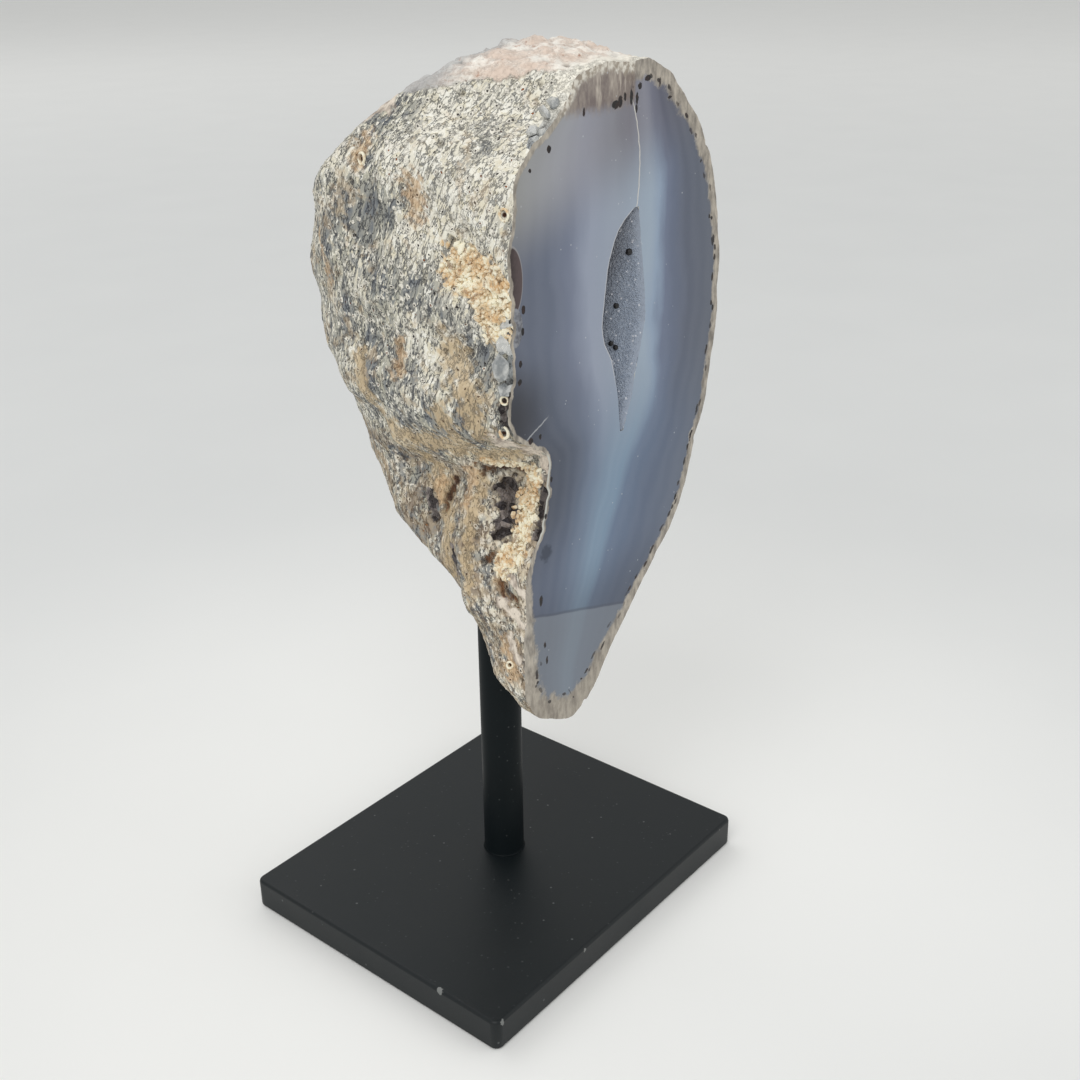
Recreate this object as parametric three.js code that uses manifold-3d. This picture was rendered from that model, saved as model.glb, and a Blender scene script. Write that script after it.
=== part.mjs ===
// Agate geode on a black stand: a nodule of banded agate, sawn and polished on one side, drilled
// from below and glued on a round steel rod, which stands upright on a rectangular steel plate.
// Millimetres, +Z up. The cut face looks to -Y, and the origin is the middle of the plate's
// underside.
import * as THREE from "three";
import { mergeVertices } from "three/addons/utils/BufferGeometryUtils.js";
import Module from "manifold-3d";

const wasm = await Module();
wasm.setup();

// Stand
const PLATE = { width: 120, depth: 100, thickness: 10, corner: 2.5, edge: 1 };
const ROD = { radius: 6.35, x: 1.7, y: 0, top: 148, chamfer: 0.8 };

// Fits
const CLEARANCE = 0.3; // left by the glue around the rod, and between the crust and the stone
const BORE_TOP = 150;

// Stone: the cut face is the plane y = FACE_Y. Each profile is a list of [height, size].
const FACE_Y = -36;
const TIP_Z = 77.6;
const CROWN_Z = 256;
const FACE_LEFT = [
  [77.6, -10], [79, -13.2], [81.5, -18], [85, -24], [88, -27], [93.6, -29.5], [110, -29.3],
  [123, -28.4], [133, -26.2], [143, -21.6], [158, -17.2], [161, -19], [165, -25], [169, -32],
  [176, -34.6], [183, -30.9], [189, -31], [197, -33.6], [213, -32.7], [229, -30], [234, -26],
  [238, -21], [242, -12.5], [248.5, -8.1], [256, -4],
];
const FACE_RIGHT = [
  [77.6, -8], [79, -2.5], [84, 3.1], [91, 7.8], [103, 19.2], [107.3, 24.6], [114, 31.4],
  [119.4, 38.9], [132.4, 46.1], [152.7, 53.8], [166.3, 57.6], [184, 59.4], [197, 58.8],
  [211, 56.7], [220, 53.4], [228.4, 50.4], [236.4, 44.2], [247, 34.3], [250.5, 27], [256, 14],
];
const BACK_Y = [
  [77.6, -34.5], [82, -32], [88, -27], [96, -18], [106, -10], [112, -7], [120, 7], [130, 28],
  [142, 40], [155, 44.5], [170, 48], [185, 57.5], [205, 59], [224, 56], [243, 40], [256, 22],
];
const BACK_X = [[77.6, -9], [88, -12], [96, -9], [104, 0], [115, 5], [160, 12], [200, 15], [256, 10]];
const LEFT_SWELL = [
  [77.6, 0.3], [96, 1], [120, 3], [140, 6], [150, 8], [158, 13], [171, 6], [215, 4], [229, 9],
  [249, 20],
];
const RIGHT_SWELL = [[77.6, 0.5], [96, 2], [120, 4], [160, 5], [200, 6], [256, 4]];
const FULLNESS = 0.72; // 1 gives an elliptical section, less a squarer one
const RINGS = 58;
const RIND_STEPS = 53;
const FACE_STEPS = 4;
const CROWN_RINGS = 6;

// Hollow in the cut face: an almond with a steep left wall and a gently sloping right one
const HOLLOW_LEFT = [
  [157.4, 12.6], [168.5, 11.2], [178.6, 8.4], [183.8, 4.9], [188.6, 4], [203.6, 6.4],
  [210.1, 9.3], [213.5, 12], [216.5, 18],
];
const HOLLOW_RIGHT = [
  [157.4, 13.8], [165.9, 17.6], [172.4, 19], [177.7, 20.8], [186.6, 23.3], [195.1, 22.6],
  [207.3, 20.6], [216.5, 19.2],
];
const HOLLOW_DEPTH = [[157.4, 1.6], [170, 6], [188, 12], [205, 10], [216.5, 1.6]];
const HOLLOW_RINGS = 26;
const HOLLOW_STEPS = 9;
const CRUST = { base: 0.9, crystal: 1.2, setBack: 0.15, span: [0.04, 0.92] };

// Landmarks on the left flank, each along a line of [y, z] points: out is how far it stands
// proud, or how deep it is sunk where it is negative.
const LANDMARKS = [
  { name: "knob", line: [[24, 211], [23, 226]], wide: 10, out: 4 },
  { name: "groove beside the knob", line: [[10, 238], [8, 224], [9, 205]], wide: 3, out: -3 },
  { name: "pit above the groove", line: [[12, 232], [12, 232]], wide: 3.5, out: -2 },
  { name: "ochre pit", line: [[-6, 226], [-6, 220]], wide: 4.5, out: -2.4 },
  { name: "ochre hollow at the back", line: [[31, 212], [31, 200]], wide: 5, out: -1.8 },
  { name: "crusty hollow by the face", line: [[-23, 212], [-31, 200]], wide: 7, out: -3.2 },
  { name: "low pit", line: [[0, 185], [1, 178]], wide: 3, out: -1.4 },
  { name: "nick", line: [[12, 159], [12, 156]], wide: 2.5, out: -2.2 },
  { name: "brow over the valley", line: [[-27, 165], [-8, 160], [6, 159]], wide: 6, out: 6 },
  { name: "valley under the brow", line: [[10, 149], [-26, 150]], wide: 3.5, out: -3.5 },
  { name: "crystal pocket", line: [[-25, 148], [-27, 137]], wide: 4.5, out: -5 },
  { name: "front column", line: [[-15, 147], [-19, 116]], wide: 4, out: 3 },
  { name: "slit", line: [[-6, 147], [-4, 139]], wide: 2, out: -3.5 },
  { name: "lower recess", line: [[6, 143], [-1, 133]], wide: 6, out: -2.4 },
  { name: "hole in the lobe", line: [[-30, 104], [-30, 102]], wide: 2.5, out: -1.6 },
];

// A profile's size at one height, its corners rounded over the height given by soften.
function sizeAt(profile, z, soften = 2) {
  const straight = (height) => {
    const next = profile.findIndex(([knot]) => knot > height);
    if (next === 0) return profile[0][1];
    if (next < 0) return profile.at(-1)[1];
    const [[z0, a], [z1, b]] = profile.slice(next - 1, next + 1);
    return a + ((b - a) * (height - z0)) / (z1 - z0);
  };
  return (straight(z - soften) + 2 * straight(z) + straight(z + soften)) / 4;
}

// The broken top: a shallow dome, highest behind the face, with a raised crust at its corner.
function crownAt(x, y) {
  const [dx, dy] = [x - 14, y + 14];
  const dome = CROWN_Z + 0.6 - 0.0038 * dx * dx - 0.0106 * dy * dy + 0.0025 * dx * dy;
  const breaks = 0.5 * Math.sin(0.35 * x + 0.2 * y) + 0.4 * Math.sin(0.5 * y - 0.25 * x + 1);
  return dome + breaks + 2.6 * Math.exp(-(((x - 25) / 9) ** 2) - ((y - FACE_Y) / 9) ** 2);
}

// Broad lumps all over the rind, in millimetres outwards.
function lumpsAt(x, y, z) {
  const wave = Math.sin(0.21 * y + 0.13 * z) * Math.sin(0.17 * z - 0.1 * x + 1.3);
  const ripple = Math.sin(0.43 * y + 0.2 * x + 0.8) * Math.sin(0.37 * z + 0.15 * y);
  return 0.9 * wave + 0.5 * ripple;
}

// Distance from [y, z] to a line of points.
function distanceTo(line, y, z) {
  const parts = line.slice(1).map(([y1, z1], i) => {
    const [y0, z0] = line[i];
    const [dy, dz] = [y1 - y0, z1 - z0];
    const along = ((y - y0) * dy + (z - z0) * dz) / Math.max(dy * dy + dz * dz, 1e-6);
    const t = Math.min(Math.max(along, 0), 1);
    return Math.hypot(y - y0 - t * dy, z - z0 - t * dz);
  });
  return Math.min(...parts);
}

function landmarksAt(y, z) {
  return LANDMARKS.reduce(
    (sum, { line, wide, out }) => sum + out * Math.exp(-((distanceTo(line, y, z) / wide) ** 2)),
    0,
  );
}

// One level section of the stone: the rind from the face's left edge round the back to its
// right edge, then straight back along the cut face.
function stoneSection(z) {
  const [left, right] = [sizeAt(FACE_LEFT, z, 0.5), sizeAt(FACE_RIGHT, z, 0.5)];
  const [backX, backY] = [sizeAt(BACK_X, z), sizeAt(BACK_Y, z)];
  const [swellLeft, swellRight] = [sizeAt(LEFT_SWELL, z), sizeAt(RIGHT_SWELL, z)];
  const waist = Math.min(1, (z - TIP_Z) / 12);
  const ring = [];
  for (let i = 0; i <= RIND_STEPS; i++) {
    const angle = Math.PI * (i / RIND_STEPS) ** 1.2;
    const across = Math.abs(Math.cos(angle)) ** FULLNESS;
    const swell = Math.abs(Math.sin(2 * angle));
    const onLeft = angle < Math.PI / 2;
    let x = onLeft
      ? backX - (backX - left) * across - swellLeft * swell
      : backX + (right - backX) * across + swellRight * swell;
    let y = FACE_Y + (backY - FACE_Y) * Math.abs(Math.sin(angle)) ** 0.9;
    const outwards = new THREE.Vector2(x - backX, (y - FACE_Y) * 0.6).normalize();
    const side = THREE.MathUtils.clamp((backX - x) / 20, 0, 1);
    const away = waist * (lumpsAt(x, y, z) + side * landmarksAt(y, z));
    const depth = THREE.MathUtils.clamp((y - FACE_Y) / 6, 0, 1);
    x += outwards.x * away;
    y += outwards.y * away * depth;
    ring.push(new THREE.Vector3(x, y, z));
  }
  const [start, end] = [ring.at(-1), ring[0]];
  for (let i = 1; i < FACE_STEPS; i++) ring.push(start.clone().lerp(end, i / FACE_STEPS));
  return ring;
}

// A closed skin through rings of equal length, each ring running clockwise as seen from above.
// The two end rings are closed by a fan, or by a strip between their two halves.
function loft(rings, ends) {
  const count = rings[0].length;
  const points = rings.flat();
  const index = [];
  for (let r = 0; r + 1 < rings.length; r++) {
    for (let i = 0; i < count; i++) {
      const [a, b] = [r * count + i, r * count + ((i + 1) % count)];
      index.push(a, a + count, b, b, a + count, b + count);
    }
  }
  const close = (first, flip) => {
    const face = (a, b, c) => (flip ? index.push(a, c, b) : index.push(a, b, c));
    if (ends === "fan") {
      const ring = points.slice(first, first + count);
      const middle = ring.reduce((sum, p) => sum.add(p), new THREE.Vector3()).divideScalar(count);
      const hub = points.push(middle) - 1;
      for (let i = 0; i < count; i++) face(first + i, first + ((i + 1) % count), hub);
      return;
    }
    for (let i = 0; i + 1 < count / 2; i++) {
      const [a, b] = [first + i, first + i + 1];
      const [c, d] = [first + count - 2 - i, first + count - 1 - i];
      face(a, b, c);
      face(a, c, d);
    }
  };
  close(0, false);
  close((rings.length - 1) * count, true);
  return new THREE.BufferGeometry().setFromPoints(points).setIndex(index);
}

function toSolid(geometry) {
  const bare = new THREE.BufferGeometry();
  bare.setAttribute("position", geometry.getAttribute("position"));
  if (geometry.index) bare.setIndex(geometry.index);
  const merged = mergeVertices(bare, 1e-4);
  return new wasm.Manifold(
    new wasm.Mesh({
      numProp: 3,
      vertProperties: new Float32Array(merged.attributes.position.array),
      triVerts: new Uint32Array(merged.index.array),
    }),
  );
}

function toGeometry(solid) {
  const { vertProperties, triVerts } = solid.getMesh();
  const geometry = new THREE.BufferGeometry();
  geometry.setAttribute("position", new THREE.BufferAttribute(vertProperties, 3));
  geometry.setIndex(new THREE.BufferAttribute(triVerts, 1));
  geometry.computeVertexNormals();
  return geometry;
}

function stoneBody() {
  const rings = [];
  for (let r = 0; r < RINGS; r++) {
    const share = r / (RINGS - 1);
    const z = THREE.MathUtils.lerp(TIP_Z, CROWN_Z, 0.7 * share + 0.3 * share * share);
    rings.push(stoneSection(z));
  }
  const rim = rings.at(-1);
  const peak = new THREE.Vector3(9, -14, CROWN_Z);
  for (let r = 1; r <= CROWN_RINGS; r++) {
    const inwards = (0.97 * r) / CROWN_RINGS;
    rings.push(rim.map((p) => p.clone().lerp(peak, inwards).setZ(CROWN_Z + 9)));
  }
  for (const p of rings.flat()) p.z = Math.min(p.z, crownAt(p.x, p.y));
  return toSolid(loft(rings, "fan"));
}

// A point of the hollow's wall: share runs from the left edge to the right one.
function hollowPoint(z, share, inset) {
  const left = sizeAt(HOLLOW_LEFT, z, 1) + 2 * inset;
  const right = sizeAt(HOLLOW_RIGHT, z, 1) - 2 * inset;
  const wall = Math.min(1, share * 6) * (1 - share ** 1.6);
  const depth = Math.max(sizeAt(HOLLOW_DEPTH, z) - inset, 0.2) * wall;
  return new THREE.Vector3(THREE.MathUtils.lerp(left, right, share), FACE_Y + depth, z);
}

// Heights of the hollow's rings, from its lower point to its upper one.
const hollowHeights = Array.from({ length: HOLLOW_RINGS }, (_, i) =>
  THREE.MathUtils.lerp(HOLLOW_LEFT[0][0], HOLLOW_LEFT.at(-1)[0], i / (HOLLOW_RINGS - 1)),
);

function hollowCutter() {
  const rings = hollowHeights.map((z) => {
    const ring = [];
    for (let i = 0; i <= HOLLOW_STEPS; i++) ring.push(hollowPoint(z, i / HOLLOW_STEPS, 0));
    const [start, end] = [ring.at(-1), ring[0]];
    return [...ring, start.clone().setY(FACE_Y - 2), end.clone().setY(FACE_Y - 2)];
  });
  return toSolid(loft(rings, "fan"));
}

// The druse: a thin shell on the hollow's wall, each second point of its inner side raised to
// the tip of a crystal.
function crystalCrust() {
  const rings = hollowHeights.slice(3, -1).map((z, row) => {
    const wall = [];
    const tips = [];
    for (let i = 0; i <= HOLLOW_STEPS; i++) {
      const raised = (i + row) % 2 ? CRUST.crystal * (0.7 + 0.3 * Math.sin(5 * row + 3 * i)) : 0;
      const share = THREE.MathUtils.lerp(...CRUST.span, i / HOLLOW_STEPS);
      const outer = hollowPoint(z, share, CLEARANCE);
      const inner = hollowPoint(z, share, CLEARANCE + CRUST.base + raised);
      outer.y -= CLEARANCE / 2;
      inner.y = Math.max(Math.min(inner.y, outer.y - CRUST.base), FACE_Y + CRUST.setBack);
      wall.push(outer);
      tips.unshift(inner);
    }
    return [...wall, ...tips];
  });
  return toGeometry(toSolid(loft(rings, "strip")));
}

function agateGeode() {
  const bore = new THREE.CylinderGeometry(
    ROD.radius + CLEARANCE, ROD.radius + CLEARANCE, BORE_TOP, 40,
  );
  bore.rotateX(Math.PI / 2).translate(ROD.x, ROD.y, BORE_TOP / 2);
  return toGeometry(stoneBody().subtract(hollowCutter()).subtract(toSolid(bore)));
}

// Plate with rounded corners and eased edges all round.
function standBase() {
  const { width, depth, thickness, corner, edge } = PLATE;
  const [w, d, r] = [width / 2 - edge, depth / 2 - edge, corner];
  const outline = new THREE.Shape()
    .moveTo(-w + r, -d)
    .lineTo(w - r, -d)
    .absarc(w - r, -d + r, r, -Math.PI / 2, 0)
    .lineTo(w, d - r)
    .absarc(w - r, d - r, r, 0, Math.PI / 2)
    .lineTo(-w + r, d)
    .absarc(-w + r, d - r, r, Math.PI / 2, Math.PI)
    .lineTo(-w, -d + r)
    .absarc(-w + r, -d + r, r, Math.PI, 1.5 * Math.PI);
  return new THREE.ExtrudeGeometry(outline, {
    depth: thickness - 2 * edge,
    bevelThickness: edge,
    bevelSize: edge,
    bevelSegments: 2,
    curveSegments: 4,
  }).translate(0, 0, edge);
}

function standRod() {
  const { radius, top, chamfer } = ROD;
  const length = top - PLATE.thickness;
  const profile = [
    [0, 0], [radius - chamfer, 0], [radius, chamfer],
    [radius, length - chamfer], [radius - chamfer, length], [0, length],
  ].map(([r, h]) => new THREE.Vector2(r, h));
  return new THREE.LatheGeometry(profile, 40).rotateX(Math.PI / 2);
}

const blackPaint = { color: 0x15181a, roughness: 0.45, metalness: 0.1 };
const pieces = [
  { name: "stand_base", shape: standBase(), finish: blackPaint },
  { name: "stand_rod", shape: standRod(), finish: blackPaint, at: [ROD.x, ROD.y, PLATE.thickness] },
  { name: "agate_geode", shape: agateGeode(), finish: { color: 0xa9a9a8, roughness: 0.7 } },
  { name: "crystal_crust", shape: crystalCrust(), finish: { color: 0x8b8c92, roughness: 0.3 } },
];

const group = new THREE.Group();
for (const { name, shape, finish, at = [0, 0, 0] } of pieces) {
  const mesh = new THREE.Mesh(
    shape,
    new THREE.MeshStandardMaterial({ flatShading: true, ...finish }),
  );
  mesh.name = name;
  mesh.position.set(...at);
  group.add(mesh);
}

export default group;
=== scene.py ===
import math

import bmesh
import bpy
import numpy as np
from mathutils import Matrix, Vector, geometry


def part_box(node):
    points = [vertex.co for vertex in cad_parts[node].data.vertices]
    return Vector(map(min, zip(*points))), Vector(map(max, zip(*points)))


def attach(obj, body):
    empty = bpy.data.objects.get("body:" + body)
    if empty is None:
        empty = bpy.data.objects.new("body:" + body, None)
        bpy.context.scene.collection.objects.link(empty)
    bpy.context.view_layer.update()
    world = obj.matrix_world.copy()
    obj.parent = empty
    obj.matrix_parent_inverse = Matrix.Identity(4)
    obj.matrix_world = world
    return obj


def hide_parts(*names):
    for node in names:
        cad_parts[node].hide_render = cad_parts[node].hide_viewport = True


MM = 0.001

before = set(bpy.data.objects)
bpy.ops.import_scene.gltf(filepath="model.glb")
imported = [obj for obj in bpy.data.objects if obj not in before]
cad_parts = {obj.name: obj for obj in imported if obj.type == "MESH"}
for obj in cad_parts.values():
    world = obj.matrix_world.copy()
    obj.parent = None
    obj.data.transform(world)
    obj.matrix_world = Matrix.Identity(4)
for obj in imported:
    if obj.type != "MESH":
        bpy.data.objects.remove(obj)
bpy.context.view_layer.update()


# Floor, lights and camera.
# The stand rests on a wide pale floor in soft studio light: a large light above and in front
# at the left, a weaker one at the right, and an even pale surround.
CAMERA_PLACE = Vector((-267.8, -238.33, 284.15)) * MM
CAMERA_TURN = math.radians(-50.539)
CAMERA_PITCH = math.radians(24.708)
CAMERA_ROLL = math.radians(-0.667)
CAMERA_LENS = 45.22
AIM = Vector((8, -5, 165)) * MM
SURROUND = (0.82, 0.825, 0.82, 1)
SURROUND_STRENGTH = 0.76
FLOOR_REACH = 14  # metres from its middle to its edge


class Wire:
    """An output socket of a node tree, with the arithmetic that materials are written in."""

    def __init__(self, tree, socket):
        self.tree, self.socket = tree, socket

    def node(self, kind, settings=None, sockets=None, out=0):
        made = self.tree.nodes.new(kind)
        for name, value in (settings or {}).items():
            if name == "stops":
                ramp = made.color_ramp.elements
                while len(ramp) < len(value):
                    ramp.new(1)
                for element, (place, colour) in zip(ramp, value):
                    element.position, element.color = place, (*colour, 1)
            else:
                setattr(made, name, value)
        for key, value in (sockets or {}).items():
            if isinstance(value, Wire):
                self.tree.links.new(value.socket, made.inputs[key])
            else:
                made.inputs[key].default_value = value
        return Wire(self.tree, made.outputs[out])

    def math(self, operation, *values):
        return self.node("ShaderNodeMath", {"operation": operation}, dict(enumerate(values)))

    def __add__(self, other):
        return self.math("ADD", self, other)

    def __sub__(self, other):
        return self.math("SUBTRACT", self, other)

    def __rsub__(self, other):
        return self.math("SUBTRACT", other, self)

    def __mul__(self, other):
        return self.math("MULTIPLY", self, other)

    def __truediv__(self, other):
        return self.math("DIVIDE", self, other)

    def __abs__(self):
        return self.math("ABSOLUTE", self)

    __radd__ = __add__
    __rmul__ = __mul__

    def most(self, other):
        return self.math("MAXIMUM", self, other)

    def least(self, other):
        return self.math("MINIMUM", self, other)

    def rise(self, low, high):
        """0 below low, 1 above high, and smooth between; it falls where low is above high."""
        ends = {0: self, 1: low, 2: high, 3: 0.0, 4: 1.0}
        if low > high:
            ends = {0: self, 1: high, 2: low, 3: 1.0, 4: 0.0}
        return self.node("ShaderNodeMapRange", {"interpolation_type": "SMOOTHSTEP"}, ends)

    def mix(self, under, over):
        """The colour under where this is 0, and over where it is 1."""
        under, over = ((*c, 1) if isinstance(c, tuple) else c for c in (under, over))
        return self.node("ShaderNodeMix", {"data_type": "RGBA"}, {0: self, 6: under, 7: over}, 2)

    def vector(self, operation, *values):
        sockets = dict(enumerate(values))
        out = 1 if operation in ("DISTANCE", "LENGTH", "DOT_PRODUCT") else 0
        return self.node("ShaderNodeVectorMath", {"operation": operation}, sockets, out)

    def scaled(self, x, y, z):
        return self.vector("MULTIPLY", self, (x, y, z))

    def in_millimetres(self):
        return self.scaled(1000, 1000, 1000)

    def times(self, factor):
        """A vector, made longer or shorter by a value."""
        return self.node("ShaderNodeVectorMath", {"operation": "SCALE"}, {0: self, "Scale": factor})

    def axis(self, name):
        return self.node("ShaderNodeSeparateXYZ", None, {0: self}, "XYZ".index(name))

    def noise(self, size, detail=2.0, roughness=0.5):
        """Cloudy noise from 0 to 1 with blotches of about this size."""
        sockets = {"Vector": self, "Scale": 1 / size, "Detail": detail, "Roughness": roughness}
        return self.node("ShaderNodeTexNoise", None, sockets)

    def cells(self, size, feature="F1", out="Distance"):
        """Distance from the nearest of scattered points this far apart, or a colour for each."""
        sockets = {"Vector": self, "Scale": 1 / size}
        return self.node("ShaderNodeTexVoronoi", {"feature": feature}, sockets, out)


def srgb(red, green, blue):
    """A colour as it looks, from 0 to 255, in the shaders' linear values."""
    return tuple(
        (c / 255 + 0.055) ** 2.4 / 1.055**2.4 if c > 10 else c / 255 / 12.92
        for c in (red, green, blue)
    )


def new_material(name):
    """A material's shader, and the place on the piece in millimetres to paint it by."""
    material = bpy.data.materials.new(name)
    material.use_nodes = True
    shader = material.node_tree.nodes["Principled BSDF"]
    coords = material.node_tree.nodes.new("ShaderNodeTexCoord")
    place = Wire(material.node_tree, coords.outputs["Object"]).in_millimetres()
    return material, shader, place


def finish_with(shader, constants=None, height=None, depth=0.1, **varying):
    """Sets the shader's own sockets, links what varies, and bumps the surface by height (mm)."""
    tree = shader.id_data
    for name, value in (constants or {}).items():
        shader.inputs[name].default_value = value
    for name, wire in varying.items():
        tree.links.new(wire.socket, shader.inputs[name.replace("_", " ")])
    if height is not None:
        sockets = {"Height": height, "Distance": depth * MM, "Strength": 1.0}
        tree.links.new(height.node("ShaderNodeBump", None, sockets).socket, shader.inputs["Normal"])


def new_object(name, data):
    """An object in the scene with this mesh, light or camera."""
    made = bpy.data.objects.new(name, data)
    bpy.context.scene.collection.objects.link(made)
    return made


def mesh_from(shape, name):
    """A mesh from a bmesh, which is then let go."""
    mesh = bpy.data.meshes.new(name)
    shape.to_mesh(mesh)
    shape.free()
    return mesh


floor_shape = bmesh.new()
bmesh.ops.create_grid(floor_shape, x_segments=1, y_segments=1, size=FLOOR_REACH)
floor = new_object("floor", mesh_from(floor_shape, "floor"))
paper, paper_shader, place = new_material("pale_paper")
away = place.vector("LENGTH", place)  # millimetres from the stand
# Painted light falloff: the paper is lightest round the stand, darker further out and lighter again far
# behind, standing in for how the lights fall off.
shade = away.rise(60, 380) * 0.85 - away.rise(800, 3000) * 0.6 + place.noise(90, 3) * 0.15
finish_with(
    paper_shader,
    {"Roughness": 0.85, "Specular IOR Level": 0.2},
    Base_Color=shade.mix((0.93, 0.93, 0.91), (0.70, 0.71, 0.705)),
)
floor.data.materials.append(paper)

world = bpy.data.worlds.new("surround")
world.use_nodes = True
world.node_tree.nodes["Background"].inputs["Color"].default_value = SURROUND
world.node_tree.nodes["Background"].inputs["Strength"].default_value = SURROUND_STRENGTH
bpy.context.scene.world = world
bpy.context.scene.view_settings.view_transform = "Standard"

# Each light: where it stands, its width and its power in watts.
LIGHTS = {
    "left_light": ((-1900, -700, 2400), 2200, 34),
    "right_light": ((1500, -2400, 1800), 2200, 10),
    "back_light": ((600, 2200, 2600), 2200, 12),
}
for name, (where, width, power) in LIGHTS.items():
    lamp = bpy.data.lights.new(name, "AREA")
    lamp.size, lamp.energy = width * MM, power
    light = new_object(name, lamp)
    light.location = Vector(where) * MM
    light.rotation_euler = (AIM - light.location).to_track_quat("-Z", "Y").to_euler()

camera_data = bpy.data.cameras.new("camera")
camera_data.lens = CAMERA_LENS
camera_data.clip_end = FLOOR_REACH * 4
camera = new_object("camera", camera_data)
camera.matrix_world = (
    Matrix.Translation(CAMERA_PLACE)
    @ Matrix.Rotation(CAMERA_TURN, 4, "Z")
    @ Matrix.Rotation(math.pi / 2 - CAMERA_PITCH, 4, "X")
    @ Matrix.Rotation(CAMERA_ROLL, 4, "Z")
)
bpy.context.scene.camera = camera


# Stand base.
# A flat bar of steel, sawn to a rectangle, its corners and edges eased on a grinder, painted
# satin black. Dust lies on it, and the paint is chipped to grey along the edges.
PLATE_CORNER = 2.5 * MM
PLATE_EDGE = 1.0 * MM
BROAD_FACE = 1e-4  # square metres: the plate's faces of this area and more stay flat
PLATE_CHIPS = [  # place, and size
    ((-59.6, -28.5, 9.4), 1.1),
    ((59.2, -49.4, 9.2), 0.9),
    ((-57.5, -49.5, 9.0), 0.9),
    ((-20.5, -49.8, 8.9), 0.7),
    ((20.0, 20.0, 10.0), 0.5),
]


def black_paint(name, chips, shine):
    """Satin black paint over steel: fine orange peel, dust, and chips down to the primer."""
    material, shader, place = new_material(name)
    peel = place.noise(0.9, 3)
    smudge = place.noise(26, 4, 0.6)
    dust = place.cells(2.4).rise(0.16, 0.08) * place.noise(9, 2).rise(0.42, 0.62)
    lint = place.cells(6.5).rise(0.07, 0.03)
    colour = smudge.mix(srgb(10, 16, 18), srgb(18, 25, 28))
    colour = (dust * 0.14 + lint * 0.3).least(0.8).mix(colour, srgb(140, 143, 143))
    bare = peel * 0  # none yet
    for where, size in chips:
        gap = place.vector("DISTANCE", place, where) + (place.noise(0.7) - 0.5) * size * 1.6
        bare = bare.most(gap.rise(size, size * 0.75))
    colour = (bare * 0.7).mix(colour, srgb(140, 142, 140))
    finish_with(
        shader,
        {"Specular IOR Level": shine, "Coat Weight": shine / 4, "Coat Roughness": 0.3},
        height=peel * 0.5 + dust * 0.8 - bare * 1.5,
        depth=0.03,
        Base_Color=colour,
        Roughness=0.34 + smudge * 0.2 + dust * 0.3 + bare * 0.3,
    )
    return material


def ease(shape, edges, width, steps):
    """Rounds those edges of a bmesh."""
    bmesh.ops.bevel(
        shape, geom=edges, offset=width, offset_type="OFFSET", segments=steps, profile=0.5, affect="EDGES"
    )


low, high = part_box("stand_base")
plate_shape = bmesh.new()
bmesh.ops.create_cube(plate_shape, size=1)
bmesh.ops.scale(plate_shape, vec=high - low, verts=plate_shape.verts)
bmesh.ops.translate(plate_shape, vec=(low + high) / 2, verts=plate_shape.verts)
upright = [e for e in plate_shape.edges if abs(e.verts[0].co.z - e.verts[1].co.z) > PLATE_EDGE]
ease(plate_shape, upright, PLATE_CORNER, 8)
rims = [
    e for e in plate_shape.edges
    if abs(e.verts[0].co.z - e.verts[1].co.z) < 1e-6 and e.calc_face_angle(0) > 1
]
ease(plate_shape, rims, PLATE_EDGE, 4)
for face in plate_shape.faces:
    face.smooth = face.calc_area() < BROAD_FACE
plate = new_object("plate", mesh_from(plate_shape, "plate"))
plate.data.materials.append(black_paint("plate_paint", PLATE_CHIPS, 0.3))
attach(plate, "root")
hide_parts("stand_base")


# Stand rod.
# Round steel bar, stood on the plate and welded from below, painted with it. Its chamfered top
# end is glued in the hole drilled up into the stone. One chip in the paint halfway up.
ROD_FILLET = 0.35 * MM
ROD_CHAMFER = 0.8 * MM
ROD_SIDES = 96
ROD_CHIPS = [((-4.2, -4.6, 32.0), 1.1), ((-4.2, -4.6, 42.0), 0.5)]

low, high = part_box("stand_rod")
middle, radius = (low + high) / 2, (high.x - low.x) / 2
rod_outline = [
    (radius + ROD_FILLET, low.z),
    (radius + ROD_FILLET * 0.3, low.z + ROD_FILLET * 0.5),
    (radius, low.z + ROD_FILLET * 1.6),
    (radius, high.z - ROD_CHAMFER),
    (radius - ROD_CHAMFER, high.z),
]
rod_shape = bmesh.new()
turns = [2 * math.pi * i / ROD_SIDES for i in range(ROD_SIDES)]
rings = [
    [
        rod_shape.verts.new((middle.x + reach * math.cos(a), middle.y + reach * math.sin(a), height))
        for a in turns
    ]
    for reach, height in rod_outline
]
for lower, upper in zip(rings, rings[1:]):
    for i in range(ROD_SIDES):
        j = (i + 1) % ROD_SIDES
        rod_shape.faces.new((lower[i], lower[j], upper[j], upper[i])).smooth = True
rod_shape.faces.new(list(reversed(rings[0])))
rod_shape.faces.new(rings[-1])
rod = new_object("rod", mesh_from(rod_shape, "rod"))
rod.data.materials.append(black_paint("rod_paint", ROD_CHIPS, 0.12))
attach(rod, "root")
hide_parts("stand_rod")


# Agate geode: its rough outside.
# One nodule of agate in its own rind, mottled slate grey and cream, with ochre crusts and pits.
# It grew in a lava bubble. A finer skin is spread over the solid, weathered, and sawn at the face.
VOXEL = 0.9 * MM
SAW_SPARE = 8 * MM  # kept past the saw cut, so that the cut through the relief is clean
WELD = 2e-6  # metres within which the solid's loose corners are one
PATCH_END, PATCH_FADE = 16, 20  # the patches end at this x, and fade towards it over this width
CROWN_Z, CROWN_SLOPE, CROWN_FADE = 246, 0.165, 4  # the bare top starts here, lower to the back
stone_low, stone_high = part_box("agate_geode")
FACE_Y = stone_low.y

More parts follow.
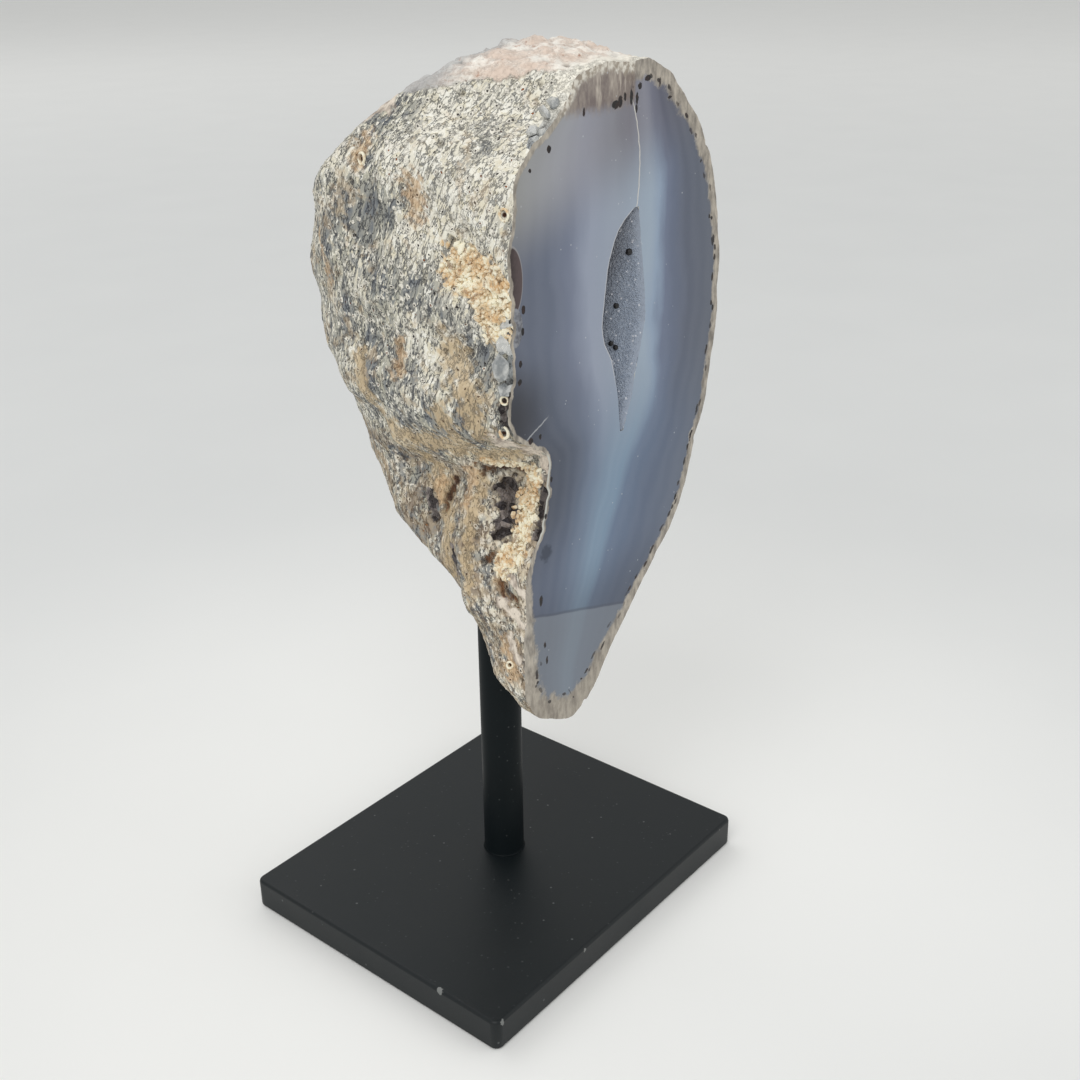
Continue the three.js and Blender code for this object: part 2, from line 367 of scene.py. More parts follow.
# Patches on the left flank, each along a line of (y, z) points, with its half width and what
# it is: crust is crumbly and peach, ochre is stained, tan is smooth and plain, dark is bare
# smoky quartz, rust is a brown stain, milk is smooth pale chalcedony, quartz is a row of grey
# crystals at the face's edge.
PATCHES = [
    ("crust", [(-21, 208), (-30, 205), (-33, 196)], 6.2),
    ("crust", [(-30.5, 153), (-29, 146), (-29.5, 134), (-28, 130)], 3.9),
    ("ochre", [(10.8, 235), (12, 230)], 2.4),
    ("ochre", [(-6, 227), (-6.5, 219)], 3.6),
    ("ochre", [(31, 210), (30, 200)], 3.6),
    ("ochre", [(0.6, 186), (0.6, 179)], 2.8),
    ("ochre", [(-31, 108), (-32, 100)], 4.0),
    ("tan", [(17, 180), (13, 168), (8, 156)], 3.4),
    ("tan", [(-17, 187), (-23, 178), (-28, 168)], 5.0),
    ("tan", [(-15, 172), (-18, 160), (6, 160)], 4.0),
    ("tan", [(-18, 158), (-33, 161), (-35, 165)], 3.4),
    ("milk", [(15, 240.5), (8, 243.5)], 2.3),
    ("tan", [(3, 153), (-4, 142), (-10, 131)], 4.2),
    ("milk", [(-32, 166), (-34, 161), (-35, 157)], 3.2),
    ("milk", [(-29, 129), (-35, 124)], 1.6),
    ("ochre", [(-27, 126), (-31, 118)], 2.2),
    ("rust", [(-29, 124), (-33, 121)], 0.8),
    ("milk", [(-28, 121), (-35, 115)], 2.0),
    ("milk", [(-31, 110), (-34, 104)], 1.5),
    ("tan", [(-7, 138), (-9, 124)], 3.6),
    ("tan", [(-16.5, 151), (-16.6, 137), (-18.8, 121)], 2.2),
    ("crust", [(-19, 155.5), (-28, 155.5)], 1.5),
    ("rust", [(-17, 152.5), (-26, 153.5)], 2.0),
    ("ochre", [(-13, 152), (-14, 144)], 2.4),
    ("rust", [(-6.2, 147), (-4, 138.5)], 1.0),
    ("rust", [(-23, 131.5), (-23.3, 130)], 1.3),
    ("rust", [(-27, 126), (-28.5, 122)], 1.0),
    ("dark", [(-22, 148), (-25, 142), (-24, 137)], 2.2),
    ("dark", [(2, 141), (0, 136)], 2.0),
    ("ochre", [(-2, 146), (-2, 141)], 2.6),
    ("dark", [(-12, 130), (-13, 125)], 2.0),
    ("dark", [(12, 161), (10, 154)], 1.6),
    ("dark", [(-34.8, 150), (-34.8, 139)], 1.7),
    ("dark", [(-34.8, 183), (-34.8, 170)], 1.3),
    ("quartz", [(-35.5, 197), (-35.5, 181)], 1.6),
    ("quartz", [(-35, 238), (-34, 245)], 2.0),
]


def gap_to(line, y, z):
    """Distance of many points (y, z) from a line of points, in millimetres."""
    nearest = np.full(len(y), 1e9)
    for (y0, z0), (y1, z1) in zip(line, line[1:]):
        dy, dz = y1 - y0, z1 - z0
        t = np.clip(((y - y0) * dy + (z - z0) * dz) / (dy * dy + dz * dz), 0, 1)
        nearest = np.minimum(nearest, np.hypot(y - y0 - t * dy, z - z0 - t * dz))
    return nearest


def islands(shape):
    """The bmesh's faces in groups that hang together, largest group first."""
    left, groups = set(shape.faces), []
    while left:
        group, front = set(), [left.pop()]
        while front:
            face = front.pop()
            group.add(face)
            for edge in face.edges:
                for other in edge.link_faces:
                    if other in left:
                        left.remove(other)
                        front.append(other)
        groups.append(group)
    return sorted(groups, key=len, reverse=True)


def only(shape, keep):
    """A copy of the bmesh with those faces alone."""
    kept = {face.index for face in keep}
    copy = shape.copy()
    gone = [face for face in copy.faces if face.index not in kept]
    bmesh.ops.delete(copy, geom=gone, context="FACES")
    return copy


def positions(mesh):
    """The places of a mesh's vertices, one row each."""
    out = np.empty(len(mesh.vertices) * 3)
    mesh.vertices.foreach_get("co", out)
    return out.reshape(-1, 3)


def store(mesh, name, values):
    """Gives a mesh an attribute with one value for each vertex."""
    layer = mesh.attributes.new(name, "FLOAT", "POINT")
    layer.data.foreach_set("value", values.astype(np.float32))


def tree_for(name, inputs):
    """An empty geometry tree with a mesh in, a mesh out and these named values."""
    tree = bpy.data.node_groups.new(name, "GeometryNodeTree")
    tree.interface.new_socket("Mesh", in_out="INPUT", socket_type="NodeSocketGeometry")
    for key in inputs:
        tree.interface.new_socket(key, in_out="INPUT", socket_type="NodeSocketFloat")
    tree.interface.new_socket("Mesh", in_out="OUTPUT", socket_type="NodeSocketGeometry")
    start = tree.nodes.new("NodeGroupInput")
    return tree, {socket.name: Wire(tree, socket) for socket in start.outputs if socket.name}


def noted(wire, name):
    """An attribute of the mesh that a geometry tree works on."""
    return wire.node("GeometryNodeInputNamedAttribute", {"data_type": "FLOAT"}, {"Name": name})


def together(*parts):
    """Several meshes of a geometry tree as one."""
    whole = parts[0].node("GeometryNodeJoinGeometry", None, {0: parts[0]})
    for part in parts[1:]:
        whole.tree.links.new(part.socket, whole.socket.node.inputs[0])
    return whole


def grow(source, tree, result, inputs):
    """The mesh that the tree makes of an object, as a plain mesh."""
    tree.links.new(result.socket, tree.nodes.new("NodeGroupOutput").inputs[0])
    modifier = source.modifiers.new(tree.name, "NODES")
    modifier.node_group = tree
    for item in tree.interface.items_tree:
        if item.in_out == "INPUT" and item.name in inputs:
            modifier[item.identifier] = inputs[item.name]
    return applied(source)


def applied(source):
    """The object's mesh with its modifiers worked in, which are then taken off."""
    graph = bpy.context.evaluated_depsgraph_get()
    mesh = bpy.data.meshes.new_from_object(source.evaluated_get(graph))
    source.modifiers.clear()
    return mesh


# The solid's skin without its cut face falls in two: the rind, and the wall of the hollow.
solid = bmesh.new()
solid.from_mesh(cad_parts["agate_geode"].data)
bmesh.ops.remove_doubles(solid, verts=solid.verts, dist=WELD)
cut = [f for f in solid.faces if all(abs(v.co.y - FACE_Y) < 1e-5 for v in f.verts)]
bmesh.ops.delete(solid, geom=cut, context="FACES")
solid.faces.index_update()
skin, wall = islands(solid)[:2]
blank = only(solid, skin)
pocket = only(solid, wall)
solid.free()

# The rind is carried on past the saw cut and closed, and spread over with an even fine mesh.
border = [e for e in blank.edges if e.is_boundary]
carried = bmesh.ops.extrude_edge_only(blank, edges=border)["geom"]
far_verts = [part for part in carried if isinstance(part, bmesh.types.BMVert)]
far_edges = [part for part in carried if isinstance(part, bmesh.types.BMEdge)]
bmesh.ops.translate(blank, vec=(0, -SAW_SPARE, 0), verts=far_verts)
bmesh.ops.contextual_create(blank, geom=far_edges)
bmesh.ops.recalc_face_normals(blank, faces=blank.faces)
rough = new_object("rough", mesh_from(blank, "rough"))
spread = rough.modifiers.new("spread", "REMESH")
spread.mode = "VOXEL"
spread.voxel_size = VOXEL
rough.data = applied(rough)

# Weathering, worked in along the skin's normals: softened, then uneven, grained in upright
# streaks, crumbly where there is crust, pitted, and broken in shards on the top and where quartz
# is bare. sway makes the patches' borders wander.
at = positions(rough.data) / MM
left_side = np.clip((PATCH_END - at[:, 0]) / PATCH_FADE, 0, 1)
sway = np.sin(at[:, 1] * 0.9 + at[:, 2] * 1.3) + np.sin(at[:, 2] * 2.1 - at[:, 1] * 1.7)
KINDS = ("crust", "ochre", "tan", "rust", "dark", "milk", "quartz")
for kind in KINDS:
    wander = sway * (0.12 if kind == "crust" else 0.25)
    amount = np.zeros(len(at))
    for line, wide in (patch[1:] for patch in PATCHES if patch[0] == kind):
        gap = gap_to(line, at[:, 1], at[:, 2]) / wide + wander
        amount = np.maximum(amount, np.exp(-(gap**2)))
    store(rough.data, kind, amount * left_side)
above = at[:, 2] - CROWN_Z + CROWN_SLOPE * at[:, 1]
store(rough.data, "crown", np.clip(above / CROWN_FADE, -1, 1))

weathering, given = tree_for("weathering", ["Uneven", "Grain", "Crumbs", "Pits", "Shards"])
position = given["Grain"].node("GeometryNodeInputPosition")
normal = position.node("GeometryNodeInputNormal")
soft = position.node(
    "GeometryNodeBlurAttribute", {"data_type": "FLOAT_VECTOR"}, {"Value": position, "Iterations": 10}
)
softened = position.node(
    "GeometryNodeSetPosition", None, {"Geometry": given["Mesh"], "Position": soft}
)
crust, dark, rust, quartz, crown = (
    noted(position, name) for name in ("crust", "dark", "rust", "quartz", "crown")
)
spot = position.in_millimetres()
uneven = (spot.noise(8, 3) - 0.5) * given["Uneven"]
grain = (spot.scaled(1, 1, 0.5).noise(2.1, 3, 0.65) - 0.5) * given["Grain"]
crumbs = (0.5 - spot.cells(3.4) + (0.5 - spot.cells(2)) * 0.7) * crust * given["Crumbs"]
pits = spot.cells(7).rise(0.22, 0.08) * given["Pits"]
broken = crown.most(0.0).most(dark).most(quartz)
shards = (spot.cells(5, "F2") - spot.cells(5) - 0.25) * broken * given["Shards"]
relief = grain + crumbs - pits + shards - dark * 1.0 - rust * 1.2
kept = position.node(
    "GeometryNodeStoreNamedAttribute", {"data_type": "FLOAT", "domain": "POINT"},
    {"Geometry": softened, "Name": "relief", "Value": relief},
)
weathered = position.node(
    "GeometryNodeSetPosition", None,
    {"Geometry": kept, "Offset": normal.times((uneven + relief) * MM)},
)
worn = grow(
    rough, weathering, weathered,
    {"Uneven": 1.5, "Grain": 1.3, "Crumbs": 2.4, "Pits": 0.9, "Shards": 2.0},
)
bpy.data.objects.remove(rough)
at = positions(worn)
at[:, 0] = np.clip(at[:, 0], stone_low.x, stone_high.x)
at[:, 1] = np.minimum(at[:, 1], stone_high.y)
at[:, 2] = np.clip(at[:, 2], stone_low.z, stone_high.z)
worn.vertices.foreach_set("co", at.ravel())


# Agate geode: its cut face.
# The saw cut, ground flat and polished: grey-blue bands that follow the hollow, inside a
# translucent rim with a line of dark grains. It meets the rind at a sharp edge all round.
FINE_STEP, WIDE_STEP = 0.85, 1.7  # spacing of the face's points, near its rim and inside
ROW_STEP = 0.87  # spacing of their rows, as a share of that
RIM_ZONE = 7.0

stone = bmesh.new()
stone.from_mesh(worn)
everything = stone.verts[:] + stone.edges[:] + stone.faces[:]
bmesh.ops.bisect_plane(
    stone, geom=everything, dist=1e-7, plane_co=(0, FACE_Y, 0), plane_no=(0, 1, 0), clear_inner=True
)
stone.faces.index_update()
loose = [face for group in islands(stone)[1:] for face in group]
bmesh.ops.delete(stone, geom=loose, context="FACES")
for face in stone.faces:
    face.smooth = True


def border_loops(shape):
    """The rows of vertices round the open edges of a bmesh, the longest first."""
    follow = {}
    for edge in shape.edges:
        if edge.is_boundary:
            for a, b in (edge.verts, reversed(edge.verts)):
                follow.setdefault(a, []).append(b)
    loops = []
    while follow:
        start = next(iter(follow))
        loop, here = [], start
        while here in follow:
            loop.append(here)
            onward = [v for v in follow.pop(here) if v in follow]
            if not onward:
                break
            here = onward[0]
        loops.append(loop)
    return sorted(loops, key=len, reverse=True)


def inside(points, loop):
    """Which points (x, z) lie inside a closed loop of points."""
    hits = np.zeros(len(points), bool)
    x, z = points[:, 0], points[:, 1]
    for (x0, z0), (x1, z1) in zip(loop, np.roll(loop, -1, axis=0)):
        if z0 != z1:
            crosses = (z0 > z) != (z1 > z)
            hits ^= crosses & (x < x0 + (z - z0) * (x1 - x0) / (z1 - z0))
    return hits


def nearest_on(points, loop):
    """For each point: its distance from a closed loop, and how far round the loop that is."""
    best, along = np.full(len(points), 1e9), np.zeros(len(points))
    run = 0.0
    for start, end in zip(loop, np.roll(loop, -1, axis=0)):
        side = end - start
        length = float(np.hypot(*side)) + 1e-9
        t = np.clip((points - start) @ side / length**2, 0, 1)
        gap = np.hypot(*(points - start - t[:, None] * side).T)
        closer = gap < best
        best[closer], along[closer] = gap[closer], (run + t * length)[closer]
        run += length
    return best, along


def flat(verts):
    """The places (x, z) of vertices on the face."""
    return np.array([(v.co.x, v.co.z) for v in verts]) / MM


joined = bpy.data.meshes.new("joined")
pocket.to_mesh(joined)
pocket.free()
before = set(stone.verts)
stone.from_mesh(joined)
pocket_verts = [v for v in stone.verts if v not in before]
loops = border_loops(stone)
hollow_loop = next(loop for loop in loops if loop[0] in set(pocket_verts))
rim_loop = next(loop for loop in loops if loop[0] in before)
rim, mouth = flat(rim_loop), flat(hollow_loop)
grid = []
for step, near in ((FINE_STEP, True), (WIDE_STEP, False)):
    across, up = np.meshgrid(
        np.arange(rim[:, 0].min(), rim[:, 0].max(), step),
        np.arange(rim[:, 1].min(), rim[:, 1].max(), step * ROW_STEP),
    )
    across = across + step / 2 * (np.arange(len(up)) % 2)[:, None]
    points = np.stack([across.ravel(), up.ravel()], axis=1)
    points = points[inside(points, rim) & ~inside(points, mouth)]
    to_rim, to_mouth = nearest_on(points, rim)[0], nearest_on(points, mouth)[0]
    wanted = (to_rim < RIM_ZONE) if near else (to_rim >= RIM_ZONE)
    grid.append(points[wanted & (to_rim > step * 0.5) & (to_mouth > step * 0.5)])
inner = np.concatenate(grid)
sheet_points = [Vector(p) for p in np.concatenate([rim, mouth, inner])]
ends = [0, len(rim), len(rim) + len(mouth)]
fences = [
    (first + i, first + (i + 1) % (last - first))
    for first, last in zip(ends, ends[1:]) for i in range(last - first)
]
found, _, triangles, sources, _, _ = geometry.delaunay_2d_cdt(sheet_points, fences, [], 1, 1e-6)
known = rim_loop + hollow_loop
corners = []
for spot_2d, source in zip(found, sources):
    own = [i for i in source if i < len(known)]
    corners.append(known[own[0]] if own else stone.verts.new((spot_2d.x * MM, FACE_Y, spot_2d.y * MM)))
centres = np.array([sum((found[i] for i in t), Vector((0, 0))) / 3 for t in triangles])
for triangle, hole in zip(triangles, inside(centres, mouth)):
    if not hole:
        face = stone.faces.new([corners[i] for i in triangle])
        face.material_index, face.smooth = 1, False
for vert in rim_loop + hollow_loop:
    for edge in vert.link_edges:
        if len({face.material_index for face in edge.link_faces}) > 1:
            edge.smooth = False
geode = new_object("agate_stone", mesh_from(stone, "agate_stone"))


def along_height(profile, z, soften=5):
    """A profile of (height, size) read at many heights, its corners rounded."""
    heights = np.arange(60.0, 270.0)  # past both ends of the stone
    sizes = np.interp(heights, *np.array(sorted(profile), float).T)
    window = np.hanning(2 * soften + 1)
    sizes = np.convolve(np.pad(sizes, soften, "edge"), window / window.sum(), "valid")
    return np.interp(z, heights, sizes)


# Width of the translucent rim, and the two sides of the pale band round the hollow, by height.
RIM_LEFT = [
    (77, 9), (88, 7), (100, 6), (115, 3.5), (135, 1.4), (160, 1.2), (185, 1.0), (225, 1.2), (240, 1.8),
]
RIM_RIGHT = [(77, 10), (92, 6), (110, 3.4), (150, 2.8), (200, 3), (225, 3.8), (240, 4.5), (250, 5)]
PALE_LEFT = [
    (250, -2), (217, -6), (200, -5.5), (190, -5), (180, -4), (170, 1), (160, 2), (150, 1),
    (140, -2), (130, -5), (120, -8), (110, -12), (95, -16), (80, -14),
]
PALE_RIGHT = [
    (250, 24), (225, 31), (200, 31), (180, 31), (170, 30.5), (160, 27), (150, 21), (140, 16),
    (130, 10), (120, 6), (110, 0), (95, -6), (80, -9),
]
SLICE = 1.5  # the rim's points this near to a height give the face's two sides there
at = positions(geode.data) / MM
on_face = abs(at[:, 1] - FACE_Y / MM) < 1e-3
x, z = at[on_face][:, 0], at[on_face][:, 2]
to_rim, round_rim = nearest_on(np.stack([x, z], axis=1), rim)
to_mouth = nearest_on(np.stack([x, z], axis=1), mouth)[0]
levels = np.arange(rim[:, 1].min() + SLICE, rim[:, 1].max() - SLICE, 0.5)
slices = [rim[abs(rim[:, 1] - level) < SLICE][:, 0] for level in levels]
sides = [np.array([pick(part) for part in slices]) for pick in (min, max)]
edge_left, edge_right = (np.interp(z, levels, side) for side in sides)
pale_left, pale_right = along_height(PALE_LEFT, z), along_height(PALE_RIGHT, z)

# Where a point lies across the face: -1 at its left edge, 0 and 1 at the sides of the pale band,
# and 2 at its right edge.
across = (x - pale_left) / (pale_right - pale_left)
across = np.where(x < pale_left, (x - pale_left) / np.maximum(pale_left - edge_left, 1), across)
across = np.where(
    x > pale_right, 1 + (x - pale_right) / np.maximum(edge_right - pale_right, 1), across
)
on_left = x < (edge_left + edge_right) / 2
rim_width = np.where(on_left, along_height(RIM_LEFT, z), along_height(RIM_RIGHT, z))
face_notes = {
    "across": across, "to_rim": to_rim, "round_rim": round_rim, "rim_width": rim_width,
    "to_mouth": to_mouth,
}
for name, values in face_notes.items():
    whole = np.zeros(len(at))
    whole[on_face] = values
    store(geode.data, name, whole)


def painted(place, name):
    """An attribute of the piece's own mesh."""
    return place.node("ShaderNodeAttribute", {"attribute_name": name}, None, 2)


# The rind's colours: slate and cream grains in streaks that lean to the face away from the
# stone's middle, dark pinholes in the grains, and the patches over them.
TUBES = [  # small open tubes on the rind: middle, the ring's radius, and its thickness
    ((-31.0, -33.9, 222.1), 1.1, 0.3),
    ((-31.8, 10.8, 230.7), 1.1, 0.34),
    ((-32.7, -34.3, 178.1), 0.9, 0.3),
    ((-32.5, -33.8, 169.7), 1.1, 0.4),
    ((-29.0, -30.9, 102.0), 0.8, 0.32),
]
STREAKS_UPRIGHT_AT = 150  # height of the stone's middle, where they don't lean
STREAK_BEND = 0.0028
rind, rind_shader, place = new_material("rind")
crust, ochre, tan, rust, dark, milk, quartz, crown, relief = (
    painted(place, name) for name in (*KINDS, "crown", "relief")
)
height, depth_in = place.axis("Z"), place.axis("Y")
off_middle = height - STREAKS_UPRIGHT_AT
lean = depth_in + off_middle * off_middle * STREAK_BEND
streak = place.node("ShaderNodeCombineXYZ", None, {0: place.axis("X"), 1: lean, 2: height * 0.38})
cloud, flow, fine = place.noise(16, 3, 0.6), streak.noise(3.4, 4, 0.68), streak.noise(0.9, 3, 0.65)
ragged = place.noise(4.2, 5, 0.78) - 0.5
bend = place.node("ShaderNodeTexNoise", None, {"Vector": place, "Scale": 0.7, "Detail": 2}, "Color")
warped = place.vector("ADD", place, bend.scaled(1.6, 1.6, 1.6))
grains, tone = warped.cells(1.75), warped.cells(1.75, out="Color")
pale = height.rise(165, 235) * depth_in.rise(14, -24)
creamy = pale * 0.9 + (cloud - 0.5) * 3.0 + 0.22 + depth_in.rise(10, 40) * 0.15
body = flow.rise(0.36, 0.62).mix(srgb(124, 128, 131), srgb(192, 189, 173))
body = (creamy.rise(0.15, 0.85) * 0.8).mix(body, srgb(236, 230, 213))
slaty = (streak.noise(6, 3, 0.6) - (cloud - 0.5) * 0.5).rise(0.48, 0.6) * (1 - pale * 0.3)
body = (slaty * 0.4).mix(body, srgb(116, 120, 127))
flecks = (fine + creamy * 0.18 - slaty * 0.08).rise(0.545, 0.62)
body = (flecks * 0.9).mix(body, tone.axis("Z").mix(srgb(232, 224, 200), srgb(255, 253, 243)))
lines = abs(streak.noise(2.3, 4, 0.7) - 0.5).rise(0.035, 0.008)
body = (lines * (0.85 - pale * 0.2)).mix(body, srgb(64, 67, 76))
pale_grains = (tone.axis("X") + creamy * 0.45).rise(0.62, 0.7)
body = (grains.rise(0.44, 0.34) * pale_grains * 0.9).mix(body, srgb(248, 243, 230))
pinhole = grains.rise(0.2, 0.1) * (tone.axis("Y") + pale * 0.2).rise(0.3, 0.4)
body = pinhole.mix(body, tone.axis("Z").rise(0.8, 0.9).mix(srgb(52, 46, 44), srgb(164, 92, 44)))
stain = (place.noise(6, 4, 0.65) + depth_in.rise(0, 30) * 0.06).rise(0.55, 0.7)
body = (stain * 0.5).mix(body, srgb(208, 184, 150))
earth = place.noise(5, 4, 0.7).rise(0.4, 0.58) * height.rise(160, 150)
body = (earth * 0.4).mix(body, srgb(180, 146, 100))

# The patches, with ragged borders.
ochre_mask = (ochre + ragged * 2.4).rise(0.25, 0.95)
tan_mask = (tan + ragged * 2.2).rise(0.2, 0.95)
crust_mask = (crust + ragged * 1.0).rise(0.35, 0.55)
rust_mask = (rust + ragged * 2.2).rise(0.45, 0.85)
milk_mask = (milk + ragged * 2.2).rise(0.35, 0.7)
dark_mask = (dark + ragged * 1.8).rise(0.4, 0.6)
clear_mask = (quartz + ragged * 1.0).rise(0.4, 0.6)
body = (tan_mask * (0.85 - lines * 0.3)).mix(body, cloud.mix(srgb(182, 158, 120), srgb(224, 202, 166)))
body = (ochre_mask * 0.75).mix(body, (fine * 1.6 - 0.3).mix(srgb(176, 128, 82), srgb(244, 220, 182)))
body = crust_mask.mix(body, (fine * 0.7 + cloud * 0.5).mix(srgb(210, 164, 112), srgb(255, 240, 206)))
facet = place.cells(2.1, out="Color").axis("X")
body = dark_mask.mix(body, facet.rise(0.15, 1.0).mix(srgb(48, 44, 49), srgb(160, 150, 146)))
body = clear_mask.mix(body, facet.mix(srgb(100, 104, 110), srgb(206, 210, 210)))
body = milk_mask.mix(body, flow.rise(0.36, 0.6).mix(srgb(164, 150, 138), srgb(236, 224, 208)))
body = (rust_mask * 0.9).mix(body, flow.rise(0.35, 0.65).mix(srgb(74, 34, 16), srgb(186, 124, 66)))
body = (pinhole * (tan_mask + ochre_mask + crust_mask).least(0.8)).mix(body, srgb(84, 48, 28))

# The bare, milky top with its brown veils, the pale lip of the rind at the face's upper edge,
# painted shade in the tubes' openings, and painted shade where the relief is deep.
top = (crown + ragged * 1.5).rise(0.0, 0.25)
veils = place.scaled(1, 1, 2).noise(8, 4, 0.6)
jelly = veils.rise(0.38, 0.66).mix(srgb(228, 208, 192), srgb(254, 249, 239))
jelly = (depth_in.rise(-14, -2) * 0.85).mix(jelly, veils.mix(srgb(138, 140, 142), srgb(214, 215, 213)))
jelly = (place.noise(2.8, 4, 0.7).rise(0.6, 0.72) * 0.8).mix(jelly, srgb(172, 112, 76))
jelly = (abs(veils - 0.5).rise(0.02, 0.005) * 0.25).mix(jelly, srgb(140, 112, 96))
body = top.mix(body, jelly)
lip = (depth_in + ragged * 6).rise(-30, -34) * height.rise(236, 245)
body = (lip * 0.8).mix(body, srgb(255, 250, 236))
# Painted shade: the tubes' openings are painted dark brown, as the shade inside them.
tube_shade = grains * 0  # none yet
for middle, radius, _ in TUBES:
    tube_shade = tube_shade.most(place.vector("DISTANCE", place, middle).rise(radius * 0.75, radius * 0.45))
body = tube_shade.mix(body, srgb(66, 38, 24))
# Painted shade: the colour is darkened where the relief is deep, as the shade in the hollows of the skin.
body = (relief.rise(-0.1, -1.1) * 0.6).mix(body, srgb(58, 50, 46))
raised = pale_grains * grains.rise(0.5, 0.3)
surface = fine * 0.7 + flow * 0.9 - lines * 0.5 + raised * 0.6 - pinhole * 1.2
finish_with(
    rind_shader,
    {"Specular IOR Level": 0.35},
    height=surface * (1 - (top + milk_mask).least(1.0) * 0.75),
    depth=0.45,
    Base_Color=body,
    Roughness=0.74 - (dark_mask + clear_mask).least(1.0) * 0.5 - top * 0.35 + crust_mask * 0.1,
)

# The polished face's colours. Its bands stand close round the hollow, and its dark grains lie
# along the rim.
GRAINS = [  # the larger ones: place (x, z), half width and half height
    (8.6, 242.4, 1.5, 1.0), (10.6, 243.0, 1.0, 1.4), (12.6, 244.0, 0.6, 1.2), (15.2, 243.6, 0.7, 1.9),
    (17.6, 243.0, 0.6, 1.5), (18.7, 245.8, 0.9, 0.8), (22.1, 247.4, 1.3, 0.7), (17.4, 240.6, 0.5, 1.1),
    (-3.9, 242.0, 0.5, 1.0), (-17.1, 235.2, 0.7, 1.0), (-24.1, 231.2, 0.5, 0.6), (27.4, 246.0, 0.4, 1.2),
    (32.0, 242.0, 0.9, 0.4), (-25.1, 165.8, 0.9, 0.9), (-21.5, 165.8, 0.6, 0.7), (-27.2, 199.5, 0.7, 1.2),
    (-27.6, 194.2, 0.6, 1.0), (-28.6, 186.5, 0.6, 0.9), (-29.0, 182.0, 0.8, 0.7), (-17.2, 153.0, 0.5, 0.8),
    (-19.6, 143.5, 0.5, 0.7), (-21.9, 119.9, 0.7, 1.5), (-20.4, 106.0, 0.5, 1.0), (-19.6, 101.0, 0.5, 1.2),
]
LEVEL_LINE = 108.7  # its height at x = 0
LEVEL_FALL = 0.293  # how far it falls for each step to the right
SMOKY_CORNER = (-35.0, -36.0, 172.0)
INCLUSION = (-19.5, -36.0, 133.0)
LENS = (-31.5, 206.7, 4.2, 8.4)  # place (x, z), half width and half height
PANE = (-30.5, 195.6, 3.0, 5.0)
CRACK_X, CRACK_Z, CRACK_BEND = 19.4, 226, 0.0129  # where it bulges furthest to the right
polish, polish_shader, place = new_material("polished_agate")
across, to_rim, round_rim, rim_width, to_mouth = (painted(place, name) for name in face_notes)
x, height = place.axis("X"), place.axis("Z")
fuzz = place.noise(1.1, 3) - 0.5
drift = (place.noise(26, 2) - 0.5) * 0.3 + (place.scaled(1, 1, 0.25).noise(3.5, 3) - 0.5) * 0.1
band = (across + 1) / 3 + drift / 3  # from 0 at the face's left edge to 1 at its right one


def bands(stops):
    """Colours across the face, each at its value of across."""
    places = [((stop + 1) / 3, srgb(*tint)) for stop, tint in stops]
    return band.node("ShaderNodeValToRGB", {"stops": places}, {0: band})


def oval(x, z, middle_x, middle_z, wide, tall):
    """1 on an oval of this half width and half height, less inside it and more outside."""
    u, v = (x - middle_x) / wide, (z - middle_z) / tall
    return u * u + v * v


middle_bands = bands([
    (-1, (98, 104, 119)), (-0.45, (103, 111, 129)), (-0.12, (121, 129, 149)),
    (0.1, (153, 161, 179)), (0.45, (156, 166, 181)), (0.8, (161, 176, 192)),
    (0.93, (149, 166, 188)), (1.06, (109, 120, 144)), (1.4, (92, 99, 116)), (2, (97, 103, 115)),
])
upper_bands = bands([
    (-1, (152, 152, 150)), (-0.4, (160, 161, 167)), (0, (153, 154, 165)), (0.4, (134, 134, 142)),
    (0.6, (123, 121, 130)), (0.8, (138, 139, 151)), (0.95, (114, 116, 132)),
    (1.15, (94, 96, 112)), (2, (104, 106, 114)),
])
lower_bands = bands([
    (-1, (94, 101, 118)), (-0.4, (95, 106, 127)), (0, (114, 130, 152)), (0.4, (129, 151, 173)),
    (0.75, (125, 148, 171)), (1, (105, 122, 147)), (1.4, (94, 107, 130)), (2, (102, 110, 125)),
])
colour = (height - across * 7).rise(211, 234).mix(middle_bands, upper_bands)
colour = height.rise(182, 142).mix(colour, lower_bands)
shade = across.rise(0.1, -0.9) * height.rise(190, 172) * height.rise(120, 150)
colour = (shade * 0.55).mix(colour, srgb(54, 58, 68))

# The level line near the tip, faint fine bands, and what lies under the polish: smoky chalcedony
# at the notch, a dark inclusion, a brown lens and a grey pane at the left edge.
level_line = height + x * LEVEL_FALL - LEVEL_LINE + (place.noise(8) - 0.5) * 0.8
ripples = band.math("SINE", band * 80 + place.noise(9, 3) * 5) * 0.5 + 0.5
colour = (ripples * 0.02).mix(colour, srgb(214, 216, 224))
colour = (height.rise(128, 106) * 0.5).mix(colour, srgb(62, 69, 84))
colour = (level_line.rise(0.3, -0.3) * 0.5).mix(colour, srgb(138, 144, 151))
colour = (abs(level_line - 0.3).rise(0.7, 0.1) * 0.5).mix(colour, srgb(72, 77, 90))
corner = place.vector("DISTANCE", place, SMOKY_CORNER).rise(20, 3)
colour = (corner * 0.85).mix(colour, srgb(48, 48, 54))
inclusion = place.vector("DISTANCE", place, INCLUSION) + fuzz * 3
colour = (inclusion.rise(3.0, 1.4) * 0.8).mix(colour, srgb(50, 58, 74))
lens = oval(x, height, *LENS)
lens_colour = (x + fuzz * 3).rise(-33, -28).mix(srgb(48, 37, 36), srgb(86, 72, 72))
colour = lens.rise(1.0, 0.9).mix(colour, lens_colour)
colour = (abs(lens - 1).rise(0.1, 0.03) * 0.45).mix(colour, srgb(168, 162, 160))
pane = oval(x, height, *PANE)
pane_colour = fuzz.rise(-0.2, 0.2).mix(srgb(96, 97, 104), srgb(146, 148, 154))
colour = pane.rise(1.0, 0.9).mix(colour, pane_colour)

